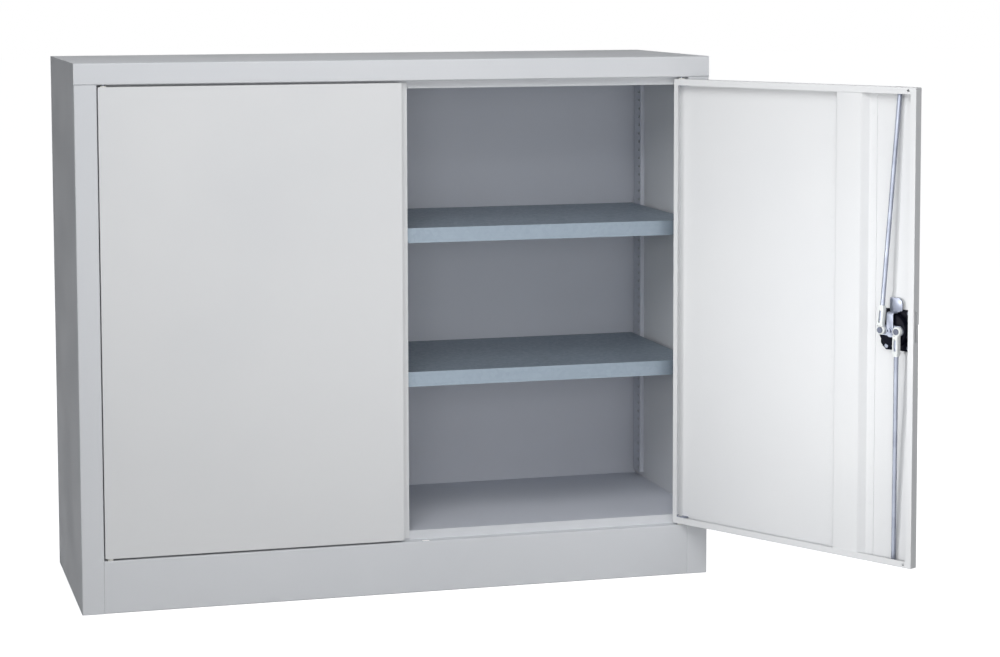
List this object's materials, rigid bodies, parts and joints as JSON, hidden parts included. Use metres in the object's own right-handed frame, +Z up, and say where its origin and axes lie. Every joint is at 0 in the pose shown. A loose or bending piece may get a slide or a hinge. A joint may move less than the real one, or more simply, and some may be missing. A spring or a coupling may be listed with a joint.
{
  "type": "tool cabinet with doors",
  "caption": "Low sheet-steel tool cabinet in light grey with two hinged doors, slotted uprights, galvanised shelves and a three-point turn-handle lock",
  "frame": {"origin": "on the floor, in the middle of the body's footprint of 1200 by 435 mm", "axes": "+Z up; +Y towards the back panel, the doors are at -Y; +X to the right as seen from the front, the opened door with the lock is on that side"},
  "size_m": [1.4248, 0.9074, 1],
  "materials": {
    "body_paint": "light grey powder coat, fine orange peel, satin",
    "inner_paint": "light grey powder coat on the inside faces and the uprights",
    "door_paint": "light grey powder coat on the doors and their stiffeners, satin",
    "shelf_zinc": "galvanised sheet, faint spangle",
    "zinc_plate": "bright zinc plating, brushed",
    "pin_steel": "turned bright steel",
    "bush_plastic": "off-white sliding bush, matt",
    "clip_plastic": "light grey moulded clip, matt",
    "black_plastic": "black moulded plastic, fine texture",
    "handle_plastic": "black moulded plastic, satin gloss",
    "barrel_metal": "polished chrome",
    "core_brass": "machined brass, nickel wash worn at the key slot"
  },
  "bodies": {
    "carcass": {"side_panel_left": "body_paint", "side_panel_right": "body_paint", "top_cap": "body_paint", "back_panel": "inner_paint", "floor_panel": "inner_paint", "plinth_front": "body_paint", "centre_strut": "inner_paint", "rail_front_left": "inner_paint", "rail_front_right": "inner_paint", "rail_rear_left": "inner_paint", "rail_rear_right": "inner_paint", "shelf_upper": "shelf_zinc", "shelf_lower": "shelf_zinc", "shelf_clips": "zinc_plate", "hinge_pins": "pin_steel"},
    "door_left": {"door_skin_left": "door_paint", "stiffener_left": "door_paint", "astragal_strip": "door_paint", "hinge_brackets_left": "zinc_plate", "hinge_bushes_left": "bush_plastic"},
    "door_right": {"door_skin_right": "door_paint", "stiffener_right": "door_paint", "hinge_brackets_right": "zinc_plate", "hinge_bushes_right": "bush_plastic", "rod_guides": "black_plastic", "handle_shell": "black_plastic", "lock_base_plate": "black_plastic", "lock_screws": "zinc_plate"},
    "latch": {"turn_handle": "handle_plastic", "lock_rotor": "zinc_plate", "rotor_pins": "pin_steel", "latch_tongue": "zinc_plate", "rotor_screw": "zinc_plate", "lock_barrel": "barrel_metal"},
    "key_core": {"lock_plug": "core_brass"},
    "upper_rod": {"rod_upper": "zinc_plate", "rod_clip_upper": "clip_plastic"},
    "lower_rod": {"rod_lower": "zinc_plate", "rod_clip_lower": "clip_plastic"}
  },
  "joints": [
    {"name": "door_left_swing", "type": "hinge", "parent": "carcass", "child": "door_left", "pos_m": [-0.547, -0.2119, 0.529], "axis": [0, 0, -1], "range_deg": [0, 120]},
    {"name": "door_right_swing", "type": "hinge", "parent": "carcass", "child": "door_right", "pos_m": [0.547, -0.2119, 0.529], "axis": [0, 0, 1], "range_deg": [-120, 0]},
    {"name": "latch_turn", "type": "hinge", "parent": "door_right", "child": "latch", "pos_m": [0.8016, -0.64168, 0.525], "axis": [0.866, 0.5, 0], "range_deg": [0, 90]},
    {"name": "key_turn", "type": "hinge", "parent": "latch", "child": "key_core", "pos_m": [0.8016, -0.64168, 0.525], "axis": [0.866, 0.5, 0], "range_deg": [0, 90]},
    {"name": "upper_rod_pivot", "type": "hinge", "parent": "latch", "child": "upper_rod", "pos_m": [0.77537, -0.63685, 0.525], "axis": [0.866, 0.5, 0], "range_deg": [-93, 0.5]},
    {"name": "lower_rod_pivot", "type": "hinge", "parent": "latch", "child": "lower_rod", "pos_m": [0.79267, -0.66681, 0.525], "axis": [0.866, 0.5, 0], "range_deg": [-93, 0.5]}
  ],
  "couplings": [
    {"joint": "upper_rod_pivot", "follows": "latch_turn", "ratio": -1.0256},
    {"joint": "lower_rod_pivot", "follows": "latch_turn", "ratio": -1.0256}
  ]
}
